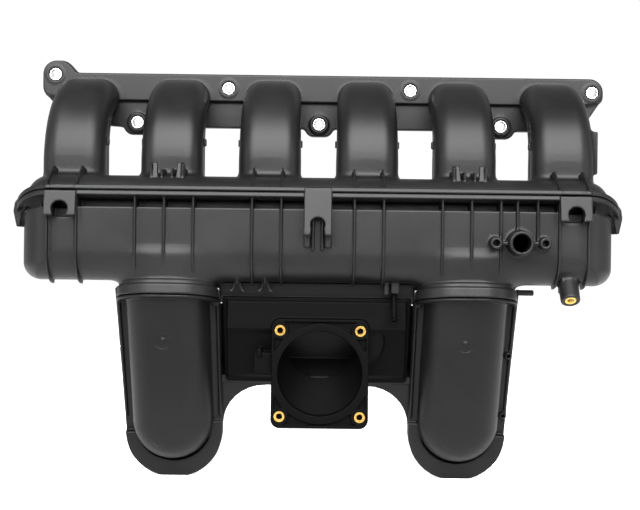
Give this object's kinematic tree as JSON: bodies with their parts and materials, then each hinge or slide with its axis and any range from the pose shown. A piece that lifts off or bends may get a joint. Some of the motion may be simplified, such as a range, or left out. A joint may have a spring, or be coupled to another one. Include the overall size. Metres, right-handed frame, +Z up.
{
  "type": "intake manifold",
  "caption": "Moulded inline-six intake manifold: curved runners from a head flange into a plenum fed by two ducts and a square throttle flange.",
  "frame": {"origin": "on the head flange's mating face, midway between the third and the fourth port, at the ports' centre height", "axes": "+X along the row of ports, +Y out of the mating face towards the engine, +Z up"},
  "size_m": [0.565, 0.15, 0.4028],
  "materials": {
    "shell_plastic": "satin black glass-filled nylon",
    "duct_plastic": "satin black glass-filled nylon",
    "throttle_plastic": "matt black glass-filled nylon",
    "limiter_steel": "bright rolled steel",
    "insert_brass": "machined brass",
    "seal_rubber": "matt black rubber"
  },
  "bodies": {
    "root": {"upper_shell": "shell_plastic", "lower_shell": "shell_plastic", "duct_front_shell_left": "duct_plastic", "duct_front_shell_right": "duct_plastic", "duct_rear_shell": "duct_plastic", "throttle_shell": "throttle_plastic", "bracket_insert": "insert_brass", "vacuum_pipe": "throttle_plastic", "vacuum_cap": "seal_rubber", "runner_inner_shell_1": "shell_plastic", "runner_inner_shell_2": "shell_plastic", "runner_inner_shell_3": "shell_plastic", "runner_inner_shell_4": "shell_plastic", "runner_inner_shell_5": "shell_plastic", "runner_inner_shell_6": "shell_plastic", "port_seal_1": "seal_rubber", "port_seal_2": "seal_rubber", "port_seal_3": "seal_rubber", "port_seal_4": "seal_rubber", "port_seal_5": "seal_rubber", "port_seal_6": "seal_rubber", "compression_limiter_1": "limiter_steel", "compression_limiter_2": "limiter_steel", "compression_limiter_3": "limiter_steel", "compression_limiter_4": "limiter_steel", "compression_limiter_5": "limiter_steel", "compression_limiter_6": "limiter_steel", "compression_limiter_7": "limiter_steel", "throttle_insert_1": "insert_brass", "throttle_insert_2": "insert_brass", "throttle_insert_3": "insert_brass", "throttle_insert_4": "insert_brass"}
  },
  "joints": []
}
